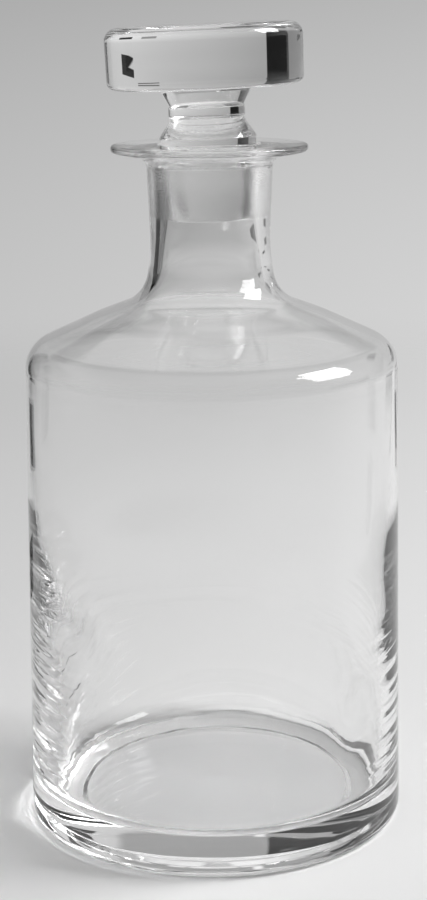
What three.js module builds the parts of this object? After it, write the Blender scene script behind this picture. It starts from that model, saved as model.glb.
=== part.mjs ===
import * as THREE from 'three';

// Whisky decanter in clear glass: a thick-based bottle, and the solid stopper that stands in its neck
// and lifts straight out. Millimetres, +Z up. The origin is the centre of the ring that the bottle
// stands on. Each piece is turned, so each is one outline spun about its axis.

// Bottle, outside
const baseRadius = 50; // widest, just above the rounded heel
const wallTopRadius = 48.9; // the wall draws in a little towards the shoulder
const heelFillet = 3;
const puntRadius = 37; // the shallow hollow under the base, inside the ring that it stands on
const puntDepth = 1.6; // in the middle
const puntEdgeHeight = 0.9;
const puntEdgeWidth = 1.4;
const puntEdgeFillet = 0.6;
const shoulderHeight = 126.8; // where the wall and the shoulder would meet
const shoulderFillet = 7.5;
const shoulderCrownRadius = 31; // the shoulder's slope eases here, so that it looks full
const shoulderCrownHeight = 135.1;
const shoulderCrownFillet = 60;
const neckFootHeight = 140.4; // where the shoulder and the neck would meet
const neckFootRadius = 17.4;
const neckFootFillet = 16;
const waistHeight = 152;
const waistRadius = 15.45; // the neck's narrowest place
const waistFillet = 150;
const neckTopRadius = 16.5; // the neck under the rim
const rimRootFillet = 3;
const rimRadius = 25.6; // the flat pouring rim
const rimThickness = 1.8; // at its edge
const rimDish = 1.9; // how far the rim's underside falls from its edge to the neck
const bottleHeight = 179.6; // to the top of the rim

// Bottle, inside
const wall = 1.7; // the wall above the thick foot
const shoulderWall = 1.9;
const innerShoulderFillet = 6;
const footTopHeight = 80; // here the wall starts to thicken towards the foot
const footWallHeight = 48; // and here the thick foot runs nearly straight again
const footWallRadius = 44.2;
const footFillet = 150;
const floorRadius = 43.8; // the floor, out to its corner
const floorHeight = 8.6; // glass under the floor's corner
const floorCrown = 0.9; // how much higher the floor is in the middle
const floorFillet = 5;
const throatFillet = 70; // under the ground seat the neck opens out again
const neckFootWall = 3.25; // how much smaller the inside of the neck's foot is than its outside
const innerNeckFootFillet = 16;

// Ground seat in the mouth, which the stopper's plug fits with room for it to lean
const seatTopRadius = 13;
const seatTaper = 5.8; // degrees each side
const seatLength = 15.5;
const mouthFillet = 0.8;
const plugClearance = 0.6;

// Stopper
const plugLength = 20.9;
const plugStandOff = 1.9; // how far the plug stands out of the mouth
const plugFillet = 0.6;
const coneHeight = 5.2; // from the plug's top up to the collar
const coneTopRadius = 9.3;
const collarRadius = 9.9;
const collarHeight = 2.7;
const stemHeight = 5; // from the collar up to the head
const stemFootRadius = 9.5;
const stemTopRadius = 12.2;
const stemTopFillet = 2.5;
const headRadius = 25.6;
const headDraft = 0.2; // how much smaller the head is below than above
const headThickness = 15.9;
const headTopFillet = 3.6;
const headFootFillet = 2;
const stopperLean = 2; // degrees: it stands loosely in its seat, tipped towards -X

// Facets
const turnSteps = 64;
const arcStep = 20; // degrees of a fillet for each facet
const fineArcStep = 45; // the same on a fillet under fineFillet
const fineFillet = 1.2;
const filletRoom = 0.48; // the share of a straight side that the fillet at one end may take
const leastReach = 0.01; // a fillet that would reach less far than this stays a corner

// Glass
const bottleColour = 0xe4e8e8;
const stopperColour = 0xe9ecec; // a little paler, being solid and polished all round
const glassRoughness = 0.03;
const glassOpacity = 0.35;

const degrees = THREE.MathUtils.degToRad;

// Rounds each corner of an outline. A corner is [radius, height, fillet], and a fillet is an arc that
// touches both of its straight sides, no longer than the shorter side allows.
function roundedOutline(corners) {
  const points = corners.map(([radius, height]) => new THREE.Vector2(radius, height));
  const outline = [points[0]];
  for (let i = 1; i < points.length - 1; i++) {
    outline.push(...filletPoints(points[i - 1], points[i], points[i + 1], corners[i][2]));
  }
  outline.push(points.at(-1));
  return outline;
}

function filletPoints(before, corner, after, fillet) {
  const back = before.clone().sub(corner);
  const ahead = after.clone().sub(corner);
  const room = filletRoom * Math.min(back.length(), ahead.length());
  back.normalize();
  ahead.normalize();
  const halfAngle = Math.acos(THREE.MathUtils.clamp(back.dot(ahead), -1, 1)) / 2;
  const reach = Math.min((fillet ?? 0) / Math.tan(halfAngle), room);
  if (reach < leastReach) return [corner];

  const radius = reach * Math.tan(halfAngle);
  const start = corner.clone().addScaledVector(back, reach);
  const bisector = back.clone().add(ahead).normalize();
  const middle = corner.clone().addScaledVector(bisector, radius / Math.sin(halfAngle));
  const turn = Math.PI - 2 * halfAngle;
  const side = Math.sign(back.cross(ahead)) || 1;
  const steps = Math.ceil(turn / degrees(radius < fineFillet ? fineArcStep : arcStep));
  return Array.from({ length: steps + 1 }, (_, i) =>
    start.clone().rotateAround(middle, (-side * turn * i) / steps),
  );
}

// Spins an outline about the Z axis.
function turned(outline) {
  const geometry = new THREE.LatheGeometry(outline, turnSteps);
  geometry.rotateX(Math.PI / 2);
  return geometry;
}

function glass(color) {
  return new THREE.MeshStandardMaterial({
    color,
    roughness: glassRoughness,
    metalness: 0,
    transparent: true,
    opacity: glassOpacity,
  });
}

function piece(name, outline, color) {
  const mesh = new THREE.Mesh(turned(outline), glass(color));
  mesh.name = name;
  return mesh;
}

// The seat's radius at a height above the base, along its taper.
function seatRadiusAt(height) {
  return seatTopRadius - (bottleHeight - height) * Math.tan(degrees(seatTaper));
}

function bottleOutside() {
  const rimFoot = bottleHeight - rimThickness;
  return [
    [0, puntDepth],
    [puntRadius - puntEdgeWidth, puntEdgeHeight, puntEdgeFillet],
    [puntRadius, 0, puntEdgeFillet],
    [baseRadius, 0, heelFillet],
    [wallTopRadius, shoulderHeight, shoulderFillet],
    [shoulderCrownRadius, shoulderCrownHeight, shoulderCrownFillet],
    [neckFootRadius, neckFootHeight, neckFootFillet],
    [waistRadius, waistHeight, waistFillet],
    [neckTopRadius, rimFoot - rimDish, rimRootFillet],
    [rimRadius, rimFoot, rimThickness / 2],
    [rimRadius, bottleHeight, rimThickness / 2],
  ];
}

// The inside of the shoulder runs shoulderWall under its outside, measured square to each slope.
function bottleInside() {
  const outerRise = (shoulderCrownHeight - shoulderHeight) / (wallTopRadius - shoulderCrownRadius);
  const innerRise = (neckFootHeight - shoulderCrownHeight) / (shoulderCrownRadius - neckFootRadius);
  const crownDrop = shoulderWall * Math.hypot(1, (outerRise + innerRise) / 2);
  const innerCrownHeight = shoulderCrownHeight - crownDrop;
  const innerWallRadius = wallTopRadius - wall;
  const innerWallTop = innerCrownHeight - (innerWallRadius - shoulderCrownRadius) * outerRise;
  const innerNeckRadius = neckFootRadius - neckFootWall;
  const innerNeckFoot = innerCrownHeight + (shoulderCrownRadius - innerNeckRadius) * innerRise;
  const footShare = footTopHeight / shoulderHeight;
  const footTopRadius = baseRadius + (wallTopRadius - baseRadius) * footShare - wall;
  const seatFoot = bottleHeight - seatLength;
  return [
    [seatTopRadius, bottleHeight, mouthFillet],
    [seatRadiusAt(seatFoot), seatFoot, throatFillet],
    [innerNeckRadius, innerNeckFoot, innerNeckFootFillet],
    [shoulderCrownRadius, innerCrownHeight, shoulderCrownFillet],
    [innerWallRadius, innerWallTop, innerShoulderFillet],
    [footTopRadius, footTopHeight, footFillet],
    [footWallRadius, footWallHeight, footFillet],
    [floorRadius, floorHeight, floorFillet],
    [0, floorHeight + floorCrown],
  ];
}

function makeBottle() {
  return piece('bottle', roundedOutline([...bottleOutside(), ...bottleInside()]), bottleColour);
}

// The stopper is drawn upright with its height counted from the mouth, then leans about the seat's
// middle.
function makeStopper() {
  const plugFoot = plugStandOff - plugLength;
  const plugRadiusAt = (height) => seatRadiusAt(bottleHeight + height) - plugClearance;
  const collarFoot = plugStandOff + coneHeight;
  const collarTop = collarFoot + collarHeight;
  const headFoot = collarTop + stemHeight;
  const headTop = headFoot + headThickness;
  const outline = roundedOutline([
    [0, plugFoot],
    [plugRadiusAt(plugFoot), plugFoot, plugFillet],
    [plugRadiusAt(plugStandOff), plugStandOff, plugFillet],
    [coneTopRadius, collarFoot, plugFillet],
    [collarRadius, collarFoot, plugFillet],
    [collarRadius, collarTop, plugFillet],
    [stemFootRadius, collarTop, plugFillet],
    [stemTopRadius, headFoot, stemTopFillet],
    [headRadius - headDraft, headFoot, headFootFillet],
    [headRadius, headTop, headTopFillet],
    [0, headTop],
  ]);
  const mesh = piece('stopper', outline, stopperColour);
  mesh.position.z = seatLength / 2;

  const leaning = new THREE.Group();
  leaning.position.z = bottleHeight - seatLength / 2;
  leaning.rotation.y = -degrees(stopperLean);
  leaning.add(mesh);
  return leaning;
}

const decanter = new THREE.Group();
decanter.add(makeBottle(), makeStopper());

export default decanter;
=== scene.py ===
"""A clear glass whisky decanter with its solid stopper, on a pale floor in soft studio light.

Both pieces are turned forms, worked out here as fine surfaces with the small unevenness of
fire-polished glass. Outlines are in millimetres; everything handed to Blender is in metres.
"""

import math

import bpy
import numpy as np
from mathutils import Matrix


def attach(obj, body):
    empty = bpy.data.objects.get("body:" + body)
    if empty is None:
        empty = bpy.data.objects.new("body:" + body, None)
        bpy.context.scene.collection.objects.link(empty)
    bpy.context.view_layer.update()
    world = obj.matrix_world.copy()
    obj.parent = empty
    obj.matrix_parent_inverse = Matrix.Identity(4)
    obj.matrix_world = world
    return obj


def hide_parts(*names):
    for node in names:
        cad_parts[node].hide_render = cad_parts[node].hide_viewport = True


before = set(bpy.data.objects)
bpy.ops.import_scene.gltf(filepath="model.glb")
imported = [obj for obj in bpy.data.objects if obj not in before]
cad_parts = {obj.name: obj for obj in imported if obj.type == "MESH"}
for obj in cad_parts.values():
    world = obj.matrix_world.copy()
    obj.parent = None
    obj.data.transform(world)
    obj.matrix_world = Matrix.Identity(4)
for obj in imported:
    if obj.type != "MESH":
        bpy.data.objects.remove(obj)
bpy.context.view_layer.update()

MM = 0.001

# Camera, as fitted to the photograph: a pinhole in front of the decanter, looking along +Y and down.
IMAGE_LONG_SIDE = 900  # pixels
CAMERA_DISTANCE = 495 * MM
CAMERA_HEIGHT = 216.76 * MM
FOCAL_PIXELS = 1910.2
CAMERA_PITCH = math.radians(9.951)
CAMERA_ROLL = math.radians(-0.589)
CAMERA_YAW = math.radians(0.069)
OPTICAL_AXIS_PIXELS_UP = 117  # the photograph is cropped so that its optical axis lies above its middle
SENSOR_WIDTH = 36  # millimetres
CLIP_RANGE = (0.01, 100)

# Bottle, outside: the sizes of the CAD bottle
BASE_RADIUS = 50.0
WALL_TOP_RADIUS = 48.9
HEEL_FILLET = 3.0
PUNT_RADIUS = 37.0
PUNT_DEPTH = 1.6
PUNT_EDGE_HEIGHT = 0.9
PUNT_EDGE_WIDTH = 1.4
PUNT_EDGE_FILLET = 0.6
SHOULDER_HEIGHT = 126.8
SHOULDER_FILLET = 7.5
SHOULDER_CROWN_RADIUS = 31.0
SHOULDER_CROWN_HEIGHT = 135.1
SHOULDER_CROWN_FILLET = 60.0
NECK_FOOT_HEIGHT = 140.4
NECK_FOOT_RADIUS = 17.4
NECK_FOOT_FILLET = 16.0
WAIST_HEIGHT = 152.0
WAIST_RADIUS = 15.45
WAIST_FILLET = 150.0
NECK_TOP_RADIUS = 16.5
RIM_ROOT_FILLET = 3.0
RIM_RADIUS = 25.6
RIM_THICKNESS = 1.8
RIM_DISH = 1.9
BOTTLE_HEIGHT = 179.6

# Bottle, inside
WALL = 1.7
SHOULDER_WALL = 1.9
INNER_SHOULDER_FILLET = 6.0
FOOT_TOP_HEIGHT = 80.0
FOOT_WALL_HEIGHT = 48.0
FOOT_WALL_RADIUS = 44.2
FOOT_FILLET = 150.0
FLOOR_RADIUS = 43.8
FLOOR_HEIGHT = 8.6
FLOOR_CROWN = 0.9
FLOOR_FILLET = 5.0
CROWN_EASE_RADIUS = 15.0  # not in the CAD: the crown flattens out inside this radius
CROWN_EASE_FILLET = 680.0
THROAT_FILLET = 70.0
NECK_FOOT_WALL = 3.25
INNER_NECK_FOOT_FILLET = 16.0

# Ground seat and stopper
SEAT_TOP_RADIUS = 13.0
SEAT_TAPER = math.radians(5.8)
SEAT_LENGTH = 15.5
MOUTH_FILLET = 0.8
PLUG_CLEARANCE = 0.6
PLUG_LENGTH = 20.9
PLUG_STAND_OFF = 1.9
PLUG_FILLET = 0.6
CONE_HEIGHT = 5.2
CONE_TOP_RADIUS = 9.3
COLLAR_RADIUS = 9.9
COLLAR_HEIGHT = 2.7
STEM_HEIGHT = 5.0
STEM_FOOT_RADIUS = 9.5
STEM_TOP_RADIUS = 12.2
STEM_TOP_FILLET = 2.5
HEAD_RADIUS = 25.6
HEAD_DRAFT = 0.2
HEAD_THICKNESS = 15.9
HEAD_TOP_FILLET = 3.6
HEAD_FOOT_FILLET = 2.0
STOPPER_LEAN = math.radians(2)

# Surfaces
TURN_STEPS = 224
ARC_STEP = math.radians(8)  # of a fillet, for each row of points
ARC_LENGTH = 2.0  # the same on a wide fillet, in millimetres
FILLET_ROOM = 0.48  # the share of a straight side that the fillet at one end may take
LEAST_REACH = 0.01  # a fillet that would reach less far than this stays a corner
OUTLINE_STEP = 2.9  # between rows on a straight stretch
RIPPLE_STEP = 0.4  # the same where the inside is rippled
RIPPLE_TOP = 62.0
RIPPLE_FOOT_RADIUS = 41.0

# Unevenness of the bottle. A stretch of heights is (start, end), and it rises smoothly between them.
AXIS_ROOM = 30.0  # neck, mouth and the floor's middle lie inside this radius and stay true
FLOOR_TO_FOOT = (10, 24)
FOOT_TO_WALL = (50, 78)
FOOT_SHIFT = 0.85  # how far the inside of the thick foot stands to +X
FLOOR_SHIFT = 0.6  # the same for the floor
FOOT_BULGES = [  # inwards, height, half height, radians to the right of the front, half width
    (0.8, 38, 8, 0.88, 0.13),
    (0.5, 58, 7, -0.88, 0.2),
]
RIDGES = [  # size, spacing, lean, phase
    (0.11, 8.7, 1.6, 0.4),
    (0.08, 5.3, 2.2, 1.7),
    (0.05, 2.9, 1.2, 3.1),
    (0.03, 1.7, 0.8, 5.0),
]
RIDGES_START = (10, 16)
RIDGES_END = (40, RIPPLE_TOP)
RIDGES_LEAST = 0.02  # what is left of the ridges at the very front and back
RIDGES_FRONT_POWER = 5  # how much more closely they keep to the sides in front than behind
RIDGES_PATCHY = 0.35  # how much they come and go along the wall
RIDGES_LEFT = 1.1  # how much stronger they are on the left
RIDGES_LEFT_SIDE = (0.2, 0.8)
WAVES = [  # size, turns round the wall, height over which it climbs one radian, phase
    (1.0, 3, 17, 0.7),
    (0.7, 5, -11, 2.1),
    (0.5, 2, 7.5, 0.0),
    (0.4, 9, 23, 4.0),
]
WAVE_START = (6, 30)
WAVE_END = (SHOULDER_HEIGHT - 8, SHOULDER_HEIGHT)
WAVE_INSIDE = 0.05
WAVE_OUTSIDE = 0.02
WAVE_OUTSIDE_STEPS = 40  # how far round the outside's wave is turned against the inside's

# Glass. Scales are per metre, depths in millimetres.
GLASS_LEVEL = 0.992  # what each face lets through, beside what it mirrors
GLASS_INDEX = 1.51
GRAIN_LENGTH = 19.0  # of the ground band, down from the mouth
GRAIN_FOOT = 0.5  # over which it starts
GRAIN_TOP = (0.8, 0.3)  # it ends between these depths under the mouth
GRAIN_OUTSIDE = (0.9, 1.2)  # and this far outside the seat's top radius
GRAIN_SCALE = 2500.0
GRAIN_DEPTH = 0.05
GRAIN_ROUGHNESS = 0.12
POLISH_SCALE = 60.0
POLISH_DEPTH = 0.05

# Studio. Lengths in metres, angles in degrees, levels from 0 for black to 1 for white.
FLOOR_REACH = 8.0
FLOOR_GAP = 0.05 * MM  # air under the glass, so that its standing ring mirrors like a real one
FLOOR_LEVEL = 0.81
FLOOR_PAINTED_FALLOFF = 0.07  # painted shade: how much darker the paper's colour is made for each e-fold of distance, for light falling off away from the decanter
FLOOR_PAINTED_FALLOFF_START = 0.06
FLOOR_PAINTED_SIDE_LIGHT = 0.3  # painted light and shade: how much lighter the paper's colour is made far to the right, towards the window, and darker far to the left
FLOOR_PAINTED_SIDE_LIGHT_START = 0.5
FLOOR_FADE = (0.45, 0.85)  # from the decanter, where the paper gives way to the room
FLOOR_ROUGHNESS = 0.8
FLAG_ROUGHNESS = 0.9
EVEN_LIGHT = 0.46
LAMP_AIM = 0.1  # the height that the lamps face

# The picture of the room. A height is the upward part of a direction, from -1 to 1.
ROOM_HORIZON = 0.449  # level there
ROOM_TABLE_RISE = 1.4  # below it the level rises with depth d by rise d - ease d^2
ROOM_TABLE_EASE = 2.8
ROOM_TOP = 0.56  # level high up the wall
ROOM_TOP_FROM = 0.08
ROOM_TOP_AT = 0.85
ROOM_CEILING = 0.33  # how much brighter it is overhead
ROOM_CEILING_RANGE = (0.7, 0.95)
ROOM_SIDE = 0.6  # how much lighter it is to the right, and darker to the left
ROOM_FRONT_DROP = 0.75  # how much darker it is on the camera's side
ROOM_FRONT_RANGE = (-0.2, 0.6)
ROOM_CARDS = [  # level, azimuth, elevation, width, height, edge
    (0.34, 180, 25, 40, 13, 4.0),
    (0.01, -143.5, 2.2, 19, 40.5, 0.5),
    (0.2, -121, -4.5, 27, 27, 0.5),
    (0.03, -153, 30, 30, 11, 1.0),
    (0.03, -121, 20, 40, 20, 1.0),
    (0.04, 142, 25.5, 11, 6, 1.0),
    (0.02, -96, -1, 12, 8, 0.5),
    (0.02, 142.2, 0.7, 10.6, 1.0, 0.1),
    (0.02, 140, -11.2, 12.5, 5.5, 0.1),
    (0.04, 93, 1, 34, 8, 2.0),
    (0.05, -22, 0, 30, 8, 3.0),
    (0.1, 156, 4.5, 12, 3, 0.5),
    (0.3, 157, -10.5, 8, 5, 0.5),
    (0.95, -171.7, 21, 1.8, 4.5, 1.2),
]
WINDOWS = {  # azimuth, elevation, distance, width, height, radiance, degrees of turn in its own plane
    "high_window": (91, 40, 1.6, 0.736, 0.672, 14.6, -14),
}
FLAGS = {  # start, end, height of foot, height of top, level
    "left_flag": ((-0.222, 0.342), (-0.294, 0.294), 0.0, 0.035, 0.02),
    "near_left_flag": ((-0.105, 0.17), (-0.15, 0.17), 0.0, 0.022, 0.02),
    "right_flag": ((0.177, 0.362), (0.22, 0.344), 0.0, 0.035, 0.35),
}

# Light paths
MOST_BOUNCES = 24
MOST_GLOSSY_BOUNCES = 16


def rounded_outline(corners):
    """Rounds an outline. A corner is (radius, height, fillet), and its fillet is an arc that touches
    both straight sides: it starts fillet / tan(half the corner's angle) along each, or just under
    half of the shorter side, and turns about the point on the corner's bisector."""
    points = np.array([corner[:2] for corner in corners], float)
    outline = [points[:1]]
    for before, corner, after, size in zip(points, points[1:], points[2:], corners[1:]):
        back, ahead = before - corner, after - corner
        room = FILLET_ROOM * min(np.hypot(*back), np.hypot(*ahead))
        back, ahead = back / np.hypot(*back), ahead / np.hypot(*ahead)
        half = math.acos(np.clip(back @ ahead, -1, 1)) / 2
        reach = min((size[2] if len(size) > 2 else 0) / math.tan(half), room)
        if reach < LEAST_REACH:
            outline.append(corner[None])
            continue
        radius = reach * math.tan(half)
        bisector = (back + ahead) / np.hypot(*(back + ahead))
        middle = corner + bisector * radius / math.sin(half)
        turn = math.pi - 2 * half
        side = math.copysign(1, back[0] * ahead[1] - back[1] * ahead[0])
        steps = math.ceil(max(turn / ARC_STEP, radius * turn / ARC_LENGTH))
        angles = -side * np.linspace(0, turn, steps + 1)
        spoke = corner + back * reach - middle
        cos, sin = np.cos(angles), np.sin(angles)
        arc = np.stack([spoke[0] * cos - spoke[1] * sin, spoke[0] * sin + spoke[1] * cos], 1)
        outline.append(middle + arc)
    outline.append(points[-1:])
    return np.concatenate(outline)


def with_rows(outline, step, fine_step=None, fine_below=0.0, fine_outside=0.0):
    """Adds points along an outline's straight stretches, step apart, and fine_step apart below a
    height and outside a radius, and keeps its own points. A point is found by its distance along the
    outline."""
    along = np.r_[0, np.cumsum(np.hypot(*np.diff(outline, axis=0).T))]
    rows = np.arange(0, along[-1], step)
    if fine_step:
        fine = np.arange(0, along[-1], fine_step)
        low = np.interp(fine, along, outline[:, 1]) < fine_below
        rows = np.r_[rows, fine[low & (np.interp(fine, along, outline[:, 0]) > fine_outside)]]
    gap = np.abs(rows[:, None] - along).min(1)
    rows = np.unique(np.r_[along, rows[gap > 0.4 * (fine_step or step)].round(2)])
    return np.stack([np.interp(rows, along, outline[:, 0]), np.interp(rows, along, outline[:, 1])], 1)


def seat_radius_at(height):
    """The ground seat's radius at a height above the base, along its taper."""
    return SEAT_TOP_RADIUS - (BOTTLE_HEIGHT - height) * math.tan(SEAT_TAPER)


def bottle_outside():
    rim_foot = BOTTLE_HEIGHT - RIM_THICKNESS
    return [
        (0, PUNT_DEPTH),
        (PUNT_RADIUS - PUNT_EDGE_WIDTH, PUNT_EDGE_HEIGHT, PUNT_EDGE_FILLET),
        (PUNT_RADIUS, 0, PUNT_EDGE_FILLET),
        (BASE_RADIUS, 0, HEEL_FILLET),
        (WALL_TOP_RADIUS, SHOULDER_HEIGHT, SHOULDER_FILLET),
        (SHOULDER_CROWN_RADIUS, SHOULDER_CROWN_HEIGHT, SHOULDER_CROWN_FILLET),
        (NECK_FOOT_RADIUS, NECK_FOOT_HEIGHT, NECK_FOOT_FILLET),
        (WAIST_RADIUS, WAIST_HEIGHT, WAIST_FILLET),
        (NECK_TOP_RADIUS, rim_foot - RIM_DISH, RIM_ROOT_FILLET),
        (RIM_RADIUS, rim_foot, RIM_THICKNESS / 2),
        (RIM_RADIUS, BOTTLE_HEIGHT, RIM_THICKNESS / 2),
    ]


def bottle_inside():
    outer_rise = (SHOULDER_CROWN_HEIGHT - SHOULDER_HEIGHT) / (WALL_TOP_RADIUS - SHOULDER_CROWN_RADIUS)
    inner_rise = (NECK_FOOT_HEIGHT - SHOULDER_CROWN_HEIGHT) / (SHOULDER_CROWN_RADIUS - NECK_FOOT_RADIUS)
    wall_radius = WALL_TOP_RADIUS - WALL
    neck_radius = NECK_FOOT_RADIUS - NECK_FOOT_WALL
    crown_height = SHOULDER_CROWN_HEIGHT - SHOULDER_WALL * math.hypot(1, (outer_rise + inner_rise) / 2)
    foot_share = FOOT_TOP_HEIGHT / SHOULDER_HEIGHT
    foot_top_radius = BASE_RADIUS + (WALL_TOP_RADIUS - BASE_RADIUS) * foot_share - WALL
    seat_foot = BOTTLE_HEIGHT - SEAT_LENGTH
    eased_crown = FLOOR_HEIGHT + FLOOR_CROWN * (1 - CROWN_EASE_RADIUS / FLOOR_RADIUS)
    return [
        (SEAT_TOP_RADIUS, BOTTLE_HEIGHT, MOUTH_FILLET),
        (seat_radius_at(seat_foot), seat_foot, THROAT_FILLET),
        (neck_radius, crown_height + (SHOULDER_CROWN_RADIUS - neck_radius) * inner_rise,
         INNER_NECK_FOOT_FILLET),
        (SHOULDER_CROWN_RADIUS, crown_height, SHOULDER_CROWN_FILLET),
        (wall_radius, crown_height - (wall_radius - SHOULDER_CROWN_RADIUS) * outer_rise,
         INNER_SHOULDER_FILLET),
        (foot_top_radius, FOOT_TOP_HEIGHT, FOOT_FILLET),
        (FOOT_WALL_RADIUS, FOOT_WALL_HEIGHT, FOOT_FILLET),
        (FLOOR_RADIUS, FLOOR_HEIGHT, FLOOR_FILLET),
        (CROWN_EASE_RADIUS, eased_crown, CROWN_EASE_FILLET),
        (0, eased_crown),
    ]


def stopper_outline():
    """The stopper upright, its height counted from the mouth."""
    plug_foot = PLUG_STAND_OFF - PLUG_LENGTH
    collar_foot = PLUG_STAND_OFF + CONE_HEIGHT
    collar_top = collar_foot + COLLAR_HEIGHT
    head_foot = collar_top + STEM_HEIGHT
    head_top = head_foot + HEAD_THICKNESS
    return [
        (0, plug_foot),
        (seat_radius_at(BOTTLE_HEIGHT + plug_foot) - PLUG_CLEARANCE, plug_foot, PLUG_FILLET),
        (seat_radius_at(BOTTLE_HEIGHT + PLUG_STAND_OFF) - PLUG_CLEARANCE, PLUG_STAND_OFF, PLUG_FILLET),
        (CONE_TOP_RADIUS, collar_foot, PLUG_FILLET),
        (COLLAR_RADIUS, collar_foot, PLUG_FILLET),
        (COLLAR_RADIUS, collar_top, PLUG_FILLET),
        (STEM_FOOT_RADIUS, collar_top, PLUG_FILLET),
        (STEM_TOP_RADIUS, head_foot, STEM_TOP_FILLET),
        (HEAD_RADIUS - HEAD_DRAFT, head_foot, HEAD_FOOT_FILLET),
        (HEAD_RADIUS, head_top, HEAD_TOP_FILLET),
        (0, head_top),
    ]


def smooth_step(value, start, end):
    """0 before start, 1 after end, and 3 t^2 - 2 t^3 between them."""
    t = np.clip((value - start) / (end - start), 0, 1)
    return t * t * (3 - 2 * t)


def turned_piece(name, outline, unevenness=None, inside_from=0):
    """A closed surface of revolution. Row i, column j is at height z_i and radius r_i + dr on the ray
    at angle 2 pi j / TURN_STEPS, where dr is unevenness(radius, height, angle, inside), and inside is
    true on rows from inside_from on. The first and last rows are single points on the axis, and the
    faces wind outwards."""
    angle = np.arange(TURN_STEPS) * 2 * np.pi / TURN_STEPS
    radius, height = (outline[1:-1, i, None] + 0 * angle for i in (0, 1))
    if unevenness:
        inside = np.arange(1, len(outline) - 1)[:, None] + 0 * angle >= inside_from
        radius = radius + unevenness(radius, height, angle + 0 * radius, inside)
    rings = np.stack([radius * np.cos(angle), radius * np.sin(angle), height], -1)
    poles = np.array([[0, 0, outline[0, 1]], [0, 0, outline[-1, 1]]])
    points = np.concatenate([rings.reshape(-1, 3), poles])

    index = np.arange(rings.shape[0] * TURN_STEPS).reshape(-1, TURN_STEPS)
    near, far = index[:-1], index[1:]
    quads = np.stack([near, np.roll(near, -1, 1), np.roll(far, -1, 1), far], -1).reshape(-1, 4)
    first, last = len(points) - 2, len(points) - 1
    start = np.stack([np.full(TURN_STEPS, first), np.roll(index[0], -1), index[0]], -1)
    end = np.stack([np.full(TURN_STEPS, last), index[-1], np.roll(index[-1], -1)], -1)
    corners = np.r_[quads.ravel(), start.ravel(), end.ravel()]
    sizes = np.r_[np.full(len(quads), 4), np.full(2 * TURN_STEPS, 3)]

    mesh = bpy.data.meshes.new(name)
    mesh.vertices.add(len(points))
    mesh.vertices.foreach_set("co", (points * MM).ravel())
    mesh.loops.add(len(corners))
    mesh.loops.foreach_set("vertex_index", corners)
    mesh.polygons.add(len(sizes))
    mesh.polygons.foreach_set("loop_start", np.r_[0, np.cumsum(sizes)[:-1]])
    mesh.polygons.foreach_set("use_smooth", np.ones(len(sizes), bool))
    mesh.update(calc_edges=True)
    mesh.validate()
    piece = bpy.data.objects.new(name, mesh)
    bpy.context.scene.collection.objects.link(piece)
    return piece


class Value:
    """One number socket. Arithmetic on it adds Math nodes."""

    def __init__(self, shader, socket):
        self.shader, self.socket = shader, socket

    def math(self, operation, *operands):
        """A Math node on the operands in their order."""
        return self.shader.node("ShaderNodeMath", {"operation": operation}, dict(enumerate(operands)))

    def __add__(self, other):
        return self.math("ADD", self, other)

    def __sub__(self, other):
        return self.math("SUBTRACT", self, other)

    def __rsub__(self, other):
        return self.math("SUBTRACT", other, self)

    def __mul__(self, other):
        return self.math("MULTIPLY", self, other)

    def __truediv__(self, other):
        return self.math("DIVIDE", self, other)

    def __rtruediv__(self, other):
        return self.math("DIVIDE", other, self)

    def __abs__(self):
        return self.math("ABSOLUTE", self)

    def __gt__(self, other):
        return self.math("GREATER_THAN", self, other)

    __radd__, __rmul__ = __add__, __mul__

    def root(self):
        return self.math("SQRT", self)

    def log(self):
        return self.math("LOGARITHM", self, math.e)

    def at_least(self, other):
        return self.math("MAXIMUM", self, other)

    def at_most(self, other):
        return self.math("MINIMUM", self, other)

    def rise(self, start, end):
        """0 before start, 1 after end, and smooth between them."""
        settings = {"interpolation_type": "SMOOTHSTEP"}
        return self.shader.node(
            "ShaderNodeMapRange", settings, {"Value": self, "From Min": start, "From Max": end}
        )


class Shader:
    """The node tree of a material or of the world."""

    def __init__(self, owner):
        owner.use_nodes = True
        self.tree = owner.node_tree
        self.tree.nodes.clear()

    def node(self, kind, settings=None, inputs=None, output=0):
        """Adds a node of any kind: its settings first, then its sockets' values or links. Returns the
        output asked for, or a list of them for a tuple of names."""
        made = self.tree.nodes.new(kind)
        for name, value in (settings or {}).items():
            setattr(made, name, value)
        for name, value in (inputs or {}).items():
            if isinstance(value, Value):
                self.tree.links.new(value.socket, made.inputs[name])
            else:
                made.inputs[name].default_value = value
        if not len(made.outputs):
            return None
        if isinstance(output, tuple):
            return [Value(self, made.outputs[name]) for name in output]
        return Value(self, made.outputs[output])


def grey(level, alpha=1.0):
    return (level, level, level, alpha)


def direction_to(azimuth, elevation):
    """The unit vector at an azimuth in degrees, from towards the camera round to the right, and an
    elevation above the horizon."""
    turn, lift = math.radians(azimuth), math.radians(elevation)
    return np.array([math.sin(turn) * math.cos(lift), -math.cos(turn) * math.cos(lift), math.sin(lift)])


def axes_facing(azimuth, elevation):
    """The level side, the up and the direction itself of something that faces a direction."""
    towards = direction_to(azimuth, elevation)
    side = np.cross([0, 0, 1], towards)
    side /= np.linalg.norm(side)
    return side, np.cross(towards, side), towards


def placed(axes, place):
    """The matrix of an object whose own X, Y and Z point along three axes."""
    matrix = np.eye(4)
    matrix[:3, 0], matrix[:3, 1], matrix[:3, 2] = axes
    matrix[:3, 3] = place
    return Matrix(matrix.tolist())


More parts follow.
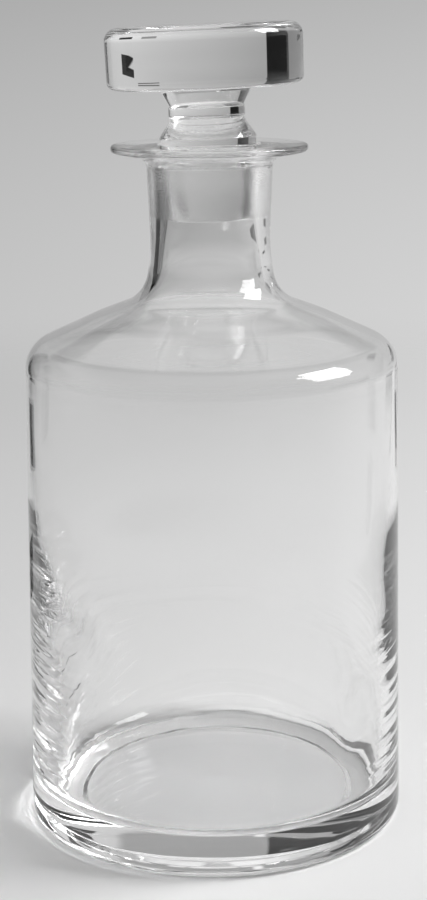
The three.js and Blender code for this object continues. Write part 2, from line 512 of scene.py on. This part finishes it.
def make_camera():
    """The fitted pinhole: forward from yaw and pitch, then the picture's own right and up turned by the
    roll about it."""
    forward = np.array([
        math.sin(CAMERA_YAW) * math.cos(CAMERA_PITCH),
        math.cos(CAMERA_YAW) * math.cos(CAMERA_PITCH),
        -math.sin(CAMERA_PITCH),
    ])
    level_right = np.cross(forward, [0, 0, 1])
    level_right /= np.linalg.norm(level_right)
    level_up = np.cross(level_right, forward)
    right = math.cos(CAMERA_ROLL) * level_right + math.sin(CAMERA_ROLL) * level_up
    up = -math.sin(CAMERA_ROLL) * level_right + math.cos(CAMERA_ROLL) * level_up

    data = bpy.data.cameras.new("camera")
    data.sensor_width = SENSOR_WIDTH
    data.lens = FOCAL_PIXELS / IMAGE_LONG_SIDE * SENSOR_WIDTH
    data.shift_y = -OPTICAL_AXIS_PIXELS_UP / IMAGE_LONG_SIDE
    data.clip_start, data.clip_end = CLIP_RANGE
    camera = bpy.data.objects.new("camera", data)
    camera.matrix_world = placed((right, up, -forward), (0, -CAMERA_DISTANCE, CAMERA_HEIGHT))
    bpy.context.scene.collection.objects.link(camera)
    bpy.context.scene.camera = camera


make_camera()
bpy.context.scene.view_settings.view_transform = "Standard"


def ridges(height, angle, spacing, lean, phase):
    """Rings of soft ridges round the wall, spacing mm apart, each rising and falling a little on its way
    round: 1 - 2 |sin(pi h / spacing + phase)|, where h is the height with lean sin(angle + phase) and a
    smaller wave of three turns added to it."""
    place = height + lean * np.sin(angle + phase) + 0.6 * np.sin(3 * angle + 2.3 * phase)
    return 1 - 2 * np.abs(np.sin(np.pi * place / spacing + phase))


def foot_shift(height, angle, front):
    """How far the inside of the thick foot moves outwards, as a sum. The shift to +X is its size times
    cos(angle). A bulge is -size exp(-a^2 - b^2), where a and b are the distances from its middle in
    half heights and half widths. The ridges are weighted by sin(front)^2, by a power of that in front,
    and by an added share on the left."""
    on_floor = 1 - smooth_step(height, *FLOOR_TO_FOOT)
    on_foot = (1 - on_floor) * (1 - smooth_step(height, *FOOT_TO_WALL))
    shift = (FOOT_SHIFT * on_foot + FLOOR_SHIFT * on_floor) * np.cos(angle)
    for size, middle, tall, side, wide in FOOT_BULGES:
        up, across = (height - middle) / tall, (front - side) / wide
        shift = shift - size * np.exp(-(up**2) - across**2)
    side = np.sin(front) ** 2
    side = np.where(np.cos(front) > 0, side**RIDGES_FRONT_POWER, side)
    side = RIDGES_LEAST + (1 - RIDGES_LEAST) * side
    side = side * (1 + RIDGES_LEFT * smooth_step(-np.sin(front), *RIDGES_LEFT_SIDE))
    band = smooth_step(height, *RIDGES_START) * (1 - smooth_step(height, *RIDGES_END)) * side
    for size, spacing, lean_by, phase in RIDGES:
        patch = np.sin(2 * angle + phase) * np.sin(height / 9 + 2 * phase)
        patch = 1 - RIDGES_PATCHY + RIDGES_PATCHY * patch
        shift = shift + size * band * patch * ridges(height, angle, spacing, lean_by, phase)
    return shift


def bottle_unevenness(radius, height, angle, inside):
    """Inside, the thick foot stands a little to +X, bulges in two places, and has chill ridges that are
    strongest at its sides. Both faces wave a little all over: a sum of sines of the angle and the
    height. The outside only moves inwards."""
    front = np.angle(np.exp(1j * (angle + np.pi / 2)))  # 0 towards the camera, + to the right
    wave, highest = 0, 0
    for size, turns, climb, phase in WAVES:
        wave = wave + size * np.sin(turns * angle + height / climb + phase)
        highest = highest + size
    body = smooth_step(height, *WAVE_START) * (1 - smooth_step(height, *WAVE_END))
    off_axis = radius > AXIS_ROOM
    foot = off_axis & (height < FOOT_TOP_HEIGHT)
    inner = np.where(foot, foot_shift(height, angle, front), 0) + WAVE_INSIDE * wave * body
    outer = WAVE_OUTSIDE * (np.roll(wave, WAVE_OUTSIDE_STEPS, 1) - highest) * body
    return np.where(off_axis, np.where(inside, inner, outer), 0)


def lean(piece):
    """Tips the stopper about the middle of its seat, towards -X, in its mesh."""
    mesh = piece.data
    points = np.empty(len(mesh.vertices) * 3)
    mesh.vertices.foreach_get("co", points)
    points = points.reshape(-1, 3) + [0, 0, SEAT_LENGTH / 2 * MM]
    cos, sin = math.cos(STOPPER_LEAN), math.sin(STOPPER_LEAN)
    x = points[:, 0] * cos - points[:, 2] * sin
    z = points[:, 0] * sin + points[:, 2] * cos
    points = np.stack([x, points[:, 1], z + (BOTTLE_HEIGHT - SEAT_LENGTH / 2) * MM], 1)
    mesh.vertices.foreach_set("co", points.ravel())
    mesh.update()


def noise(shader, place, scale):
    return shader.node("ShaderNodeTexNoise", {}, {"Vector": place, "Scale": scale, "Detail": 1.0})


def bump(shader, height, depth, inputs=None):
    """A normal tilted by a height from 0 to 1 that stands for a depth in millimetres."""
    settings = {"Height": height, "Strength": 1.0, "Distance": depth * MM, **(inputs or {})}
    return shader.node("ShaderNodeBump", {}, settings)


def clear_glass(name):
    """Clear glass. Where the plug and its seat are ground to each other they are faintly rough and
    grainy; the rest is polished, with the slight waviness of fire polishing."""
    material = bpy.data.materials.new(name)
    shader = Shader(material)
    place = shader.node("ShaderNodeTexCoord", output="Object")
    x, y, height = shader.node("ShaderNodeSeparateXYZ", {}, {0: place}, output=("X", "Y", "Z"))
    radius = (x * x + y * y).root()
    top, foot = BOTTLE_HEIGHT * MM, (BOTTLE_HEIGHT - GRAIN_LENGTH) * MM
    below, above = ((SEAT_TOP_RADIUS + room) * MM for room in GRAIN_OUTSIDE)
    ground = height.rise(foot, foot + GRAIN_FOOT * MM)
    ground = ground * (1 - height.rise(*(top - depth * MM for depth in GRAIN_TOP)))
    ground = ground * (1 - radius.rise(below, above))
    grain = noise(shader, place, GRAIN_SCALE)
    fine = bump(shader, grain * ground, GRAIN_DEPTH)
    surface = shader.node("ShaderNodeBsdfPrincipled", {}, {
        "Base Color": grey(GLASS_LEVEL),
        "Roughness": ground * GRAIN_ROUGHNESS,
        "IOR": GLASS_INDEX,
        "Transmission Weight": 1.0,
        "Normal": bump(shader, noise(shader, place, POLISH_SCALE), POLISH_DEPTH, {"Normal": fine}),
    })
    shader.node("ShaderNodeOutputMaterial", {}, {"Surface": surface})
    return material


outline = rounded_outline(bottle_outside() + bottle_inside())
lip = np.flatnonzero(outline[:, 1] == outline[:, 1].max())[-1]
outside = with_rows(outline[:lip + 1], OUTLINE_STEP)
inside = with_rows(outline[lip:], OUTLINE_STEP, RIPPLE_STEP, RIPPLE_TOP, RIPPLE_FOOT_RADIUS)
bottle = turned_piece(
    "decanter_bottle", np.concatenate([outside, inside[1:]]), bottle_unevenness, len(outside)
)
bottle.data.materials.append(clear_glass("bottle_clear_glass"))
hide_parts("bottle")
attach(bottle, "bottle")

stopper = turned_piece("disc_stopper", with_rows(rounded_outline(stopper_outline()), OUTLINE_STEP))
lean(stopper)
stopper.data.materials.append(clear_glass("stopper_clear_glass"))
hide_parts("stopper")
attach(stopper, "stopper")


def stage_sheet(name, corners, material_name):
    """One flat face for the stage, with an empty material. Returns the material's shader."""
    mesh = bpy.data.meshes.new(name)
    mesh.from_pydata(corners, [], [(0, 1, 2, 3)])
    sheet = bpy.data.objects.new(name, mesh)
    bpy.context.scene.collection.objects.link(sheet)
    material = bpy.data.materials.new(material_name)
    mesh.materials.append(material)
    return Shader(material)


def matt(shader, colour, roughness):
    return shader.node("ShaderNodeBsdfPrincipled", {}, {
        "Base Color": colour, "Roughness": roughness, "Specular IOR Level": 0.0,
    })


def make_floor():
    """A wide sheet of pale paper. Its colour holds painted shade that darkens it with the logarithm of
    the distance from the decanter and painted light that brightens it a little from left to right; far
    off it gives way to the picture of the room."""
    ends = ((-1, -1), (1, -1), (1, 1), (-1, 1))
    corners = [(x * FLOOR_REACH, y * FLOOR_REACH, -FLOOR_GAP) for x, y in ends]
    shader = stage_sheet("floor", corners, "floor_paper_painted_falloff")
    place = shader.node("ShaderNodeTexCoord", output="Object")
    distance = shader.node("ShaderNodeVectorMath", {"operation": "LENGTH"}, {0: place}, output="Value")
    x = shader.node("ShaderNodeSeparateXYZ", {}, {0: place}, output="X")
    # painted shade and light in the paper's colour: darker with distance for the light's falloff,
    # lighter to the right towards the window
    away = distance / FLOOR_PAINTED_FALLOFF_START + 1
    side = x / (distance + FLOOR_PAINTED_SIDE_LIGHT_START)
    level = (FLOOR_LEVEL - away.log() * FLOOR_PAINTED_FALLOFF) * (side * FLOOR_PAINTED_SIDE_LIGHT + 1)
    colour = shader.node("ShaderNodeCombineColor", {}, {"Red": level, "Green": level, "Blue": level})
    surface = shader.node("ShaderNodeMixShader", {}, {
        0: distance.rise(*FLOOR_FADE),
        1: matt(shader, colour, FLOOR_ROUGHNESS),
        2: shader.node("ShaderNodeBsdfTransparent"),
    })
    shader.node("ShaderNodeOutputMaterial", {}, {"Surface": surface})


def make_flag(name, start, end, foot, top, level):
    """A matt studio card on edge, outside the picture, which darkens what the glass's edges show."""
    corners = [(*start, foot), (*end, foot), (*end, top), (*start, top)]
    shader = stage_sheet(name, corners, name + "_card")
    surface = matt(shader, grey(level), FLAG_ROUGHNESS)
    shader.node("ShaderNodeOutputMaterial", {}, {"Surface": surface})


def make_lamp(name, azimuth, elevation, distance, width, height, radiance, turn):
    """A soft box: a flat lamp that faces the decanter's middle. A flat lamp of P watts and area A has
    radiance P / (pi A)."""
    data = bpy.data.lights.new(name, "AREA")
    data.shape = "RECTANGLE"
    data.size, data.size_y = width, height
    data.energy = radiance * math.pi * width * height
    lamp = bpy.data.objects.new(name, data)
    side, up, towards = axes_facing(azimuth, elevation)
    cos, sin = math.cos(math.radians(turn)), math.sin(math.radians(turn))
    side, up = cos * side + sin * up, cos * up - sin * side
    lamp.matrix_world = placed((side, up, towards), towards * distance + [0, 0, LAMP_AIM])
    bpy.context.scene.collection.objects.link(lamp)


def card(shader, direction, azimuth, elevation, width, height, edge):
    """1 inside a rectangle of directions, width by height degrees, and 0 outside, edge degrees soft. A
    direction's place on it is its share along the card's own right or up over its share forward."""
    side, up, forward = axes_facing(azimuth, elevation)

    def along(axis):
        settings = {"operation": "DOT_PRODUCT"}
        return shader.node("ShaderNodeVectorMath", settings, {0: direction, 1: axis}, output="Value")

    ahead = along(forward)
    soft = math.radians(edge)
    mask = ahead > 0
    for axis, size in ((side, width), (up, height)):
        half = math.tan(math.radians(size / 2))
        mask = mask * (1 - abs(along(axis) / ahead).rise(half - soft / 2, half + soft / 2))
    return mask


def make_world():
    """Even light for diffuse surfaces, and for camera rays, gloss and glass a picture of the room."""
    world = bpy.data.worlds.new("studio")
    bpy.context.scene.world = world
    shader = Shader(world)
    direction = shader.node("ShaderNodeTexCoord", output="Generated")
    x, y, up = shader.node("ShaderNodeSeparateXYZ", {}, {0: direction}, output=("X", "Y", "Z"))
    down = (0 - up).at_least(0).at_most(ROOM_TABLE_RISE / ROOM_TABLE_EASE / 2)
    table = down * ROOM_TABLE_RISE - down * down * ROOM_TABLE_EASE
    wall = up.rise(ROOM_TOP_FROM, ROOM_TOP_AT) * (ROOM_TOP - ROOM_HORIZON)
    front = (0 - y).rise(*ROOM_FRONT_RANGE)
    picture = (wall + table + ROOM_HORIZON) * (x * ROOM_SIDE + 1) * (1 - front * ROOM_FRONT_DROP)
    picture = picture + up.rise(*ROOM_CEILING_RANGE) * ROOM_CEILING
    for level, *shape in ROOM_CARDS:
        mask = card(shader, direction, *shape)
        picture = picture * (1 - mask) + mask * level
    camera, gloss, glass = shader.node(
        "ShaderNodeLightPath", output=("Is Camera Ray", "Is Glossy Ray", "Is Transmission Ray")
    )
    seen = camera.at_least(gloss).at_least(glass)
    strength = seen * picture + (1 - seen) * EVEN_LIGHT
    surface = shader.node("ShaderNodeBackground", {}, {"Color": grey(1.0), "Strength": strength})
    shader.node("ShaderNodeOutputWorld", {}, {"Surface": surface})


make_floor()
make_world()
for name, shape in WINDOWS.items():
    make_lamp(name, *shape)
for name, shape in FLAGS.items():
    make_flag(name, *shape)
cycles = bpy.context.scene.cycles
cycles.blur_glossy = 0  # keeps all the light that the glass gathers on the table
cycles.max_bounces = MOST_BOUNCES
cycles.glossy_bounces = MOST_GLOSSY_BOUNCES
cycles.transmission_bounces = MOST_BOUNCES
